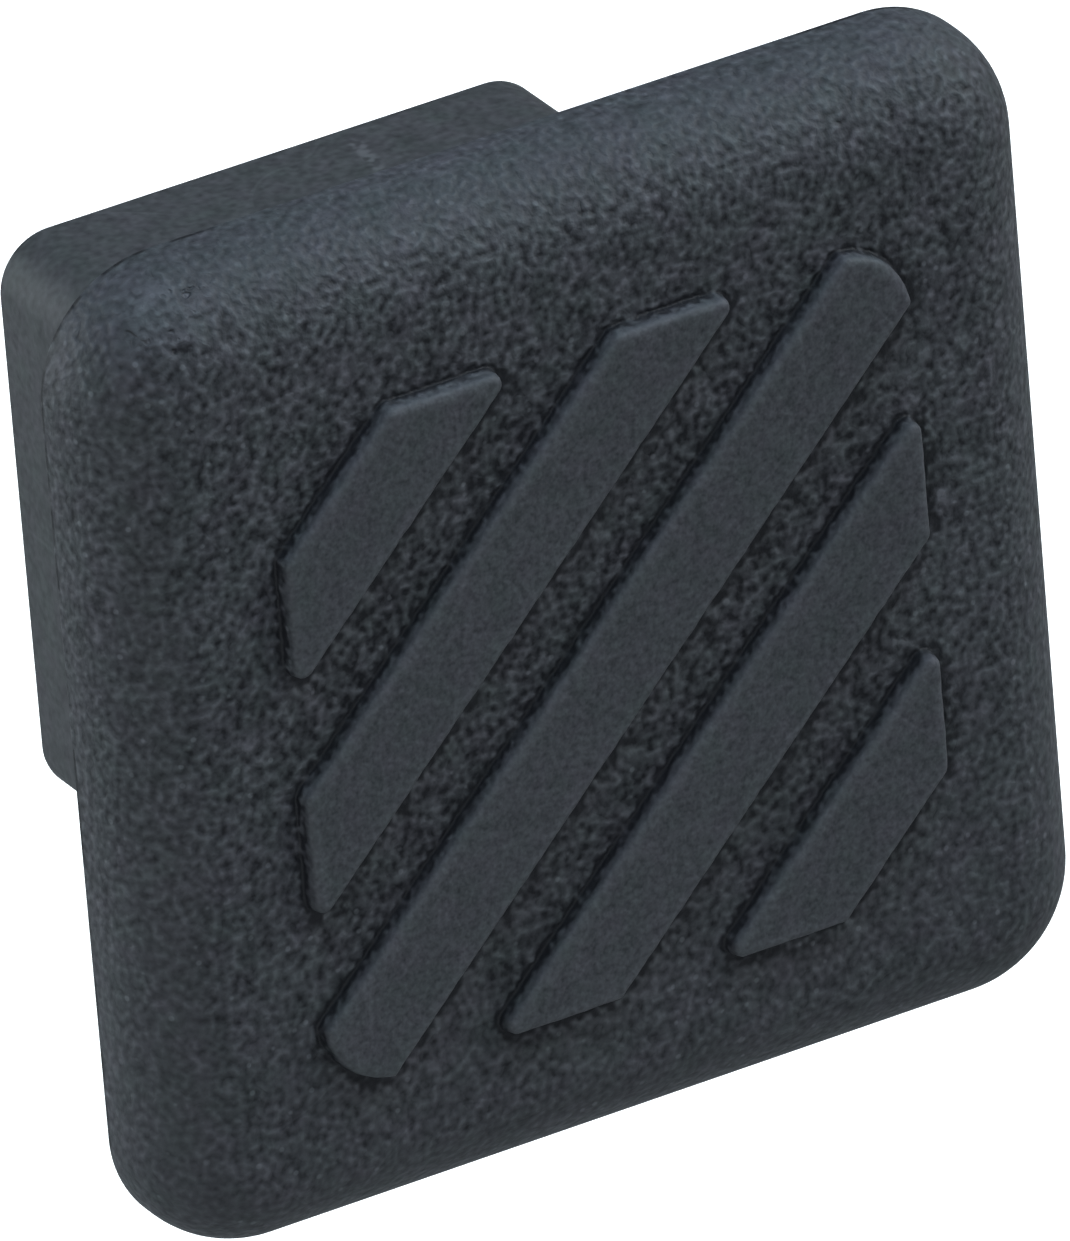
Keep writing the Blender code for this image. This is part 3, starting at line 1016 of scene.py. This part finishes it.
# The pale specks are painted glints, and the grit is crumbs on the ground
GLINT_SPECKS = {"per_mm": 1.5, "edge": 0.30, "core": 0.14, "left_out": 0.88}
GRIT = {"per_mm": 0.30, "edge": 0.085, "core": 0.035, "left_out": 0.40}
GLINT_SPECK_SHIFT = (7.3, 1.9, 4.1)
GRIT_SHIFT = (3.1, 8.2, 5.7)
GLINT_SPECK_TONE = 0.40
GRIT_TONE = 0.45

# Painted sheen on what looks up: its tone, and how much of the grain it covers
SHEEN_ON_TOP_TONE = 0.44
SHEEN_ON_TOP_COVER = 0.45
# The dents are darkened as painted shade, and the rubber round them is rubbed paler
DENT_SHADE_TONE = -0.12
RUBBED_TONE = 0.26
# The plug's side that faces left gets painted light
FACING_LEFT = (-0.5, -0.9)
PLUG_LEFT_LIGHT_TONE = 0.06


def ground_tone(tree, at, grain):
    specks = random_dots(tree, vectors(tree, "ADD", at.place, GLINT_SPECK_SHIFT), **GLINT_SPECKS)
    grit = random_dots(tree, vectors(tree, "ADD", at.place, GRIT_SHIFT), **GRIT)
    shade_between_ribs = steps_between(tree, at.to_panel, BETWEEN_RIBS)
    # The grain's peaks, creases and pits give painted light and shade to the tone here
    tone = maths(tree, "ADD", grain.ground, GROUND_TONE)
    return summed(tree, tone, (shade_between_ribs, BETWEEN_RIBS_SHADE_TONE), (specks, GLINT_SPECK_TONE), (grit, GRIT_TONE))


def plug_tone(tree, at, grain):
    """The plug's own grain, with painted light that makes the side facing left a little paler."""
    left = steps_between(tree, at.sideways, FACING_LEFT)
    return maths(tree, "ADD", grain.plug, summed(tree, PLUG_TONE, (left, PLUG_LEFT_LIGHT_TONE)))


def clean_tone(tree, at, grain, dents, rubbed):
    """The tone before marks and dirt."""
    rib_top = summed(tree, RIB_TONE, (grain.smooth, RIB_GRAIN_TONE))
    tone = mixed(tree, at.on_rib, ground_tone(tree, at, grain), rib_top)
    # Painted sheen on what looks up covers the grain
    tone = mixed(tree, product(tree, at.looks_up, SHEEN_ON_TOP_COVER), tone, SHEEN_ON_TOP_TONE)
    # Dents darkened as painted shade, rubbed patches paler
    tone = summed(tree, tone, (dents, DENT_SHADE_TONE), (rubbed, RUBBED_TONE))
    return mixed(tree, at.on_plug, tone, plug_tone(tree, at, grain))


print("tones: ground", GROUND_TONE, "ribs", RIB_TONE, "plug", PLUG_TONE)

# %% [markdown]
# Marks from use come next. Long faint lines are left by hands and packing: they are the places where
# a very coarse noise crosses its middle value, and a second noise breaks them up. The plug has one
# short scratch on top, which catches only on the lumps. The ribs' shoulders are paler: rubbed, and
# with a painted highlight.

# %% Marks
HANDLING_PER_MM = 0.13
HANDLING_VALUES = (0.010, 0.003)
HANDLING_BREAKS_PER_MM = 0.22
HANDLING_BREAK_VALUES = (0.48, 0.60)
HANDLING_TONE = 0.10

# The scratch: its middle, how far it slants, half its width and length, and where it may lie
SCRATCH_DEPTH = 22.0
SCRATCH_X = 3.95
SCRATCH_SLANT = -0.14
SCRATCH_WIDTH = (0.55, 0.15)
SCRATCH_LENGTH = (2.6, 1.6)
SCRATCHED_LUMPS = (0.36, 0.62)
SCRATCHED_HEIGHT = (15.0, 15.4)
SCRATCH_TONE = 0.30

# The ribs' shoulders are paler from wear and a painted highlight
SHOULDER = (-0.85, -0.10)
SHOULDER_WEAR_AND_HIGHLIGHT_TONE = 0.14


def handling_lines(tree, place):
    from_middle = size_of(tree, above_half(tree, noise_of(tree, place, HANDLING_PER_MM)))
    breaks = noise_of(tree, place, HANDLING_BREAKS_PER_MM)
    some = steps_between(tree, breaks, HANDLING_BREAK_VALUES)
    return product(tree, steps_between(tree, from_middle, HANDLING_VALUES), some)


def scratch_on_plug(tree, at, noises):
    along = maths(tree, "SUBTRACT", at.depth, SCRATCH_DEPTH)
    across = maths(tree, "SUBTRACT", summed(tree, at.x, (along, SCRATCH_SLANT)), SCRATCH_X)
    return product(
        tree,
        steps_between(tree, size_of(tree, across), SCRATCH_WIDTH),
        steps_between(tree, size_of(tree, along), SCRATCH_LENGTH),
        steps_between(tree, noises.lumps, SCRATCHED_LUMPS),
        steps_between(tree, at.z, SCRATCHED_HEIGHT),
    )


def marked_tone(tree, at, noises, tone):
    # Wear and a painted highlight on the ribs' shoulders
    shoulders = product(tree, steps_between(tree, at.to_rib, SHOULDER), at.on_rib)
    lines = handling_lines(tree, at.place)
    scratch = scratch_on_plug(tree, at, noises)
    return summed(tree, tone, (lines, HANDLING_TONE), (scratch, SCRATCH_TONE), (shoulders, SHOULDER_WEAR_AND_HIGHLIGHT_TONE))


print("the scratch is", 2 * SCRATCH_LENGTH[0], "mm long")

# %% [markdown]
# Shade at the ribs' feet is painted into the tone. It follows the attribute that the rib tree stored:
# painted shade in the crease, and on the lower right a wider painted shadow over the ground, and the
# lumps beside the foot break its edge. A dark band also lies in places along the cap's back edge, and
# thinly along the end edge of the plug. A pass from Ambient Occlusion would find such corners too, but
# it would also darken the inside of the plug, and an export loses it.

# %% Painted shade at the ribs' feet, and dark edges
# Painted shade and shadow at the ribs' feet
FOOT_EDGE = (0.0, 0.3)
FOOT_UNEVENNESS = -1.1
FOOT_SHADE = (0.10, 0.80)

# The cap's back edge by depth, from its front side to its back, and where the plug covers it on top
BACK_EDGE_FRONT = (-0.52, -0.36)
BACK_EDGE_BACK = (0.20, 0.05)
OVER_PLUG = (17.5, 15.5)

# The plug's end edge by depth, how far from the axis its outside is, and how dark its band is
PLUG_END = (24.92, 25.05)
PLUG_OUTSIDE = (13.4, 14.4)
PLUG_END_SHARE = 0.5

DARK_EDGE_PER_MM = 0.75
DARK_EDGE_VALUES = (0.40, 0.56)
# The tone of the painted shade at the ribs' feet and of the dark band on the edges
SHADE_AND_DARK_EDGE_TONE = 0.02


def foot_shade(tree, noises):
    # Painted shade in the crease at a rib's foot, and painted shadow beside the lower right feet
    foot = add(tree, "ShaderNodeAttribute", output="Fac", attribute_name="foot")
    beside = product(tree, noises.lumpy, steps_between(tree, foot, FOOT_EDGE))
    return steps_between(tree, summed(tree, foot, (beside, FOOT_UNEVENNESS)), FOOT_SHADE)


def dark_edge_band(tree, at):
    """A dark band on the cap's back edge and on the outer edge of the plug's end, but not on what faces
    back.
    """
    front, back = (steps_between(tree, at.depth, ends) for ends in (BACK_EDGE_FRONT, BACK_EDGE_BACK))
    over_plug = product(tree, steps_between(tree, size_of(tree, at.x), OVER_PLUG), at.looks_up)
    rim = product(tree, front, back, rest_of(tree, over_plug))
    from_axis = maths(tree, "MAXIMUM", size_of(tree, at.x), size_of(tree, at.z))
    outside = steps_between(tree, from_axis, PLUG_OUTSIDE)
    plug_end = product(tree, steps_between(tree, at.depth, PLUG_END), PLUG_END_SHARE, outside)
    edges = product(tree, maths(tree, "MAXIMUM", rim, plug_end), rest_of(tree, at.faces_back))
    in_places = steps_between(tree, noise_of(tree, at.place, DARK_EDGE_PER_MM, detail=1.0), DARK_EDGE_VALUES)
    return product(tree, edges, in_places)


def darkened_tone(tree, at, noises, tone):
    # Painted shade at the ribs' feet, and the dark band along the edges
    darkening = maths(tree, "MAXIMUM", foot_shade(tree, noises), dark_edge_band(tree, at))
    return mixed(tree, darkening, tone, SHADE_AND_DARK_EDGE_TONE)


# The painted shadow reaches this far out from the lower right feet
print("dirt reaches", round(FAR_FOOT / MM, 2), "mm out from the ribs' feet at most")

# %% [markdown]
# The tone picks a colour between two blacks, and a slow noise drifts the whole between a little more
# red and a little more blue. Where the cap looks up, the painted sheen makes the rubber slightly bluer
# and less red. The gloss is low and almost even. How strongly the surface shines head on is the same
# everywhere, so it is set on the shader's own socket.

# %% Rubber
RUBBER_DARK = (0.0050, 0.0055, 0.0072, 1.0)
RUBBER_PALE = (0.0714, 0.0760, 0.0828, 1.0)
RUBBER_SHEEN_LEVEL = 0.16

# Roughness drifts slowly about its middle, and the tone drifts with it
RUBBER_ROUGHNESS = 0.60
ROUGHNESS_SPREAD = 0.12
BROAD_PER_MM = 0.09
BROAD_DETAIL = 3.0
BROAD_ROUGHNESS = 0.6
BROAD_TONE = -0.05

HUE_PER_MM = 0.55
HUE_DETAIL = 2.0
RED_DRIFT = 0.30
BLUE_DRIFT = 0.22
BLUE_BASE = 1.02
PLUG_BLUE = -0.03
SHEEN_ON_TOP_BLUE = 0.04
SHEEN_ON_TOP_RED = -0.03


def skin_colour(tree, at, tone):
    colour = mixed_colour(tree, tone, RUBBER_DARK, RUBBER_PALE)
    hue = above_half(tree, noise_of(tree, at.place, HUE_PER_MM, HUE_DETAIL))
    # Painted sheen on the cap where it looks up makes it slightly bluer and less red
    sheen_on_top = product(tree, at.looks_up, rest_of(tree, at.on_plug))
    red = summed(tree, 1.0, (sheen_on_top, SHEEN_ON_TOP_RED), (hue, RED_DRIFT))
    blue = summed(tree, BLUE_BASE, (at.on_plug, PLUG_BLUE), (sheen_on_top, SHEEN_ON_TOP_BLUE), (hue, BLUE_DRIFT))
    return vectors(tree, "MULTIPLY", colour, vector_of(tree, red, 1.0, blue))


def rubber_material():
    material = bpy.data.materials.new("black rubber skin")
    material.use_nodes = True
    tree = material.node_tree
    tree.nodes.clear()
    at = places_on_cover(tree)
    noises = grain_noises(tree, at.place)
    grain = grains_of(tree, at, noises)
    dents, rubbed = knocked_corner(tree, at, noises)
    broad = noise_of(tree, at.place, BROAD_PER_MM, BROAD_DETAIL, BROAD_ROUGHNESS)

    tone = clean_tone(tree, at, grain, dents, rubbed)
    tone = darkened_tone(tree, at, noises, marked_tone(tree, at, noises, tone))
    tone = summed(tree, tone, (above_half(tree, broad), BROAD_TONE))
    shader = {
        "Base Color": skin_colour(tree, at, tone),
        "Roughness": summed(tree, RUBBER_ROUGHNESS - ROUGHNESS_SPREAD / 2, (broad, ROUGHNESS_SPREAD)),
        "Specular IOR Level": RUBBER_SHEEN_LEVEL,
        "Normal": relief(tree, at, grain, dents),
    }
    surface = add(tree, "ShaderNodeBsdfPrincipled", shader)
    add(tree, "ShaderNodeOutputMaterial", {"Surface": surface})
    return material


rubber = rubber_material()
print("rubber material:", len(rubber.node_tree.nodes), "nodes")

# %% [markdown]
# Now the tree runs once. Its sizes are set through each input's identifier, the result is copied into
# a plain mesh, and the modifier goes. The mesh must be closed with its faces outward, so the faces
# are turned the same way here and the edges are counted.

# %% Make the cover
COVER_SIZES = {
    "Body Section": body_section,
    "Corner Steps": CORNER_STEPS,
    "Panel Width": PANEL_WIDTH,
    "Panel Corner Radius": PANEL_CORNER_RADIUS,
    "Rib Width": RIB_WIDTH,
    "Rib Gap": RIB_GAP,
    "Rib Count": RIB_COUNT,
    "Rib Slant": RIB_SLANT,
    "Rib Section": section_of_ribs,
    "Rib Edge Radius": RIB_EDGE_RADIUS,
    "Rib Foot Radius": RIB_FOOT_RADIUS,
    "Near Foot": NEAR_FOOT,
    "Far Foot": FAR_FOOT,
    "Foot Shade Height": FOOT_SHADE_HEIGHT,
    "Rib Corner Radius": RIB_CORNER_RADIUS,
    "Outline Step": OUTLINE_STEP,
    "Wander": WANDER,
    "Wander Per Metre": WANDER_PER_METRE,
    "Wander Seed": WANDER_SEED,
    "Face Height": CAP_THICKNESS,
    "Rib Top Height": CAP_THICKNESS + RIB_HEIGHT,
    "Hollow Floor Height": CAP_THICKNESS - CAP_SKIN,
    "Weld Distance": WELD_DISTANCE,
    "Rubber": rubber,
}


def applied(thing):
    """A plain mesh of the object as its modifiers leave it."""
    bpy.context.view_layer.update()
    graph = bpy.context.evaluated_depsgraph_get()
    return bpy.data.meshes.new_from_object(thing.evaluated_get(graph), depsgraph=graph)


def run_tree(name, tree, sizes):
    """Makes an object from a geometry tree and these inputs. The result is a plain mesh."""
    made = bpy.data.objects.new(name, bpy.data.meshes.new(name))
    bpy.context.scene.collection.objects.link(made)
    modifier = made.modifiers.new(tree.name, "NODES")
    modifier.node_group = tree
    for socket in tree.interface.items_tree:
        if socket.in_out == "INPUT":
            modifier[socket.identifier] = sizes[socket.name]
    mesh = applied(made)
    made.modifiers.clear()
    made.data = mesh
    return made


def face_outward(made):
    """Turns every face outward. Returns how many edges don't have two faces, and the volume."""
    shape = bmesh.new()
    shape.from_mesh(made.data)
    bmesh.ops.recalc_face_normals(shape, faces=shape.faces)
    loose = sum(len(edge.link_faces) != 2 for edge in shape.edges)
    volume = shape.calc_volume(signed=True)
    shape.to_mesh(made.data)
    shape.free()
    return loose, volume


cover = run_tree("rubber_cover", cover_group, COVER_SIZES)
open_edges, volume = face_outward(cover)
print(len(cover.data.polygons), "faces,", open_edges, "open edges,", round(volume / MM**3), "mm3")

# %% [markdown]
# Smooth shading blends the light across every edge, and a large flat next to a narrow rounding would
# take on some of the rounding's tilt. A Weighted Normal modifier gives the large faces the say at
# their borders, so that the flats stay flat and only the roundings shade.

# %% Keep the flats flat
# At 50 each face counts by its area. More than that would favour the large faces further.
SIZE_WEIGHT = 50


def weigh_normals(made):
    weigh = made.modifiers.new("large faces lead", "WEIGHTED_NORMAL")
    weigh.mode = "FACE_AREA"
    weigh.weight = SIZE_WEIGHT
    weigh.keep_sharp = False
    mesh = applied(made)
    made.modifiers.clear()
    made.data = mesh


weigh_normals(cover)
for helper in (body_section, section_of_ribs):
    bpy.data.objects.remove(helper, do_unlink=True)
print("normals weighted on", cover.name)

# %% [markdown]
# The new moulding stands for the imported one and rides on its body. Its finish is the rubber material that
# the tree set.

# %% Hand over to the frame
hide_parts("hitch_cover")
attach(cover, "root")
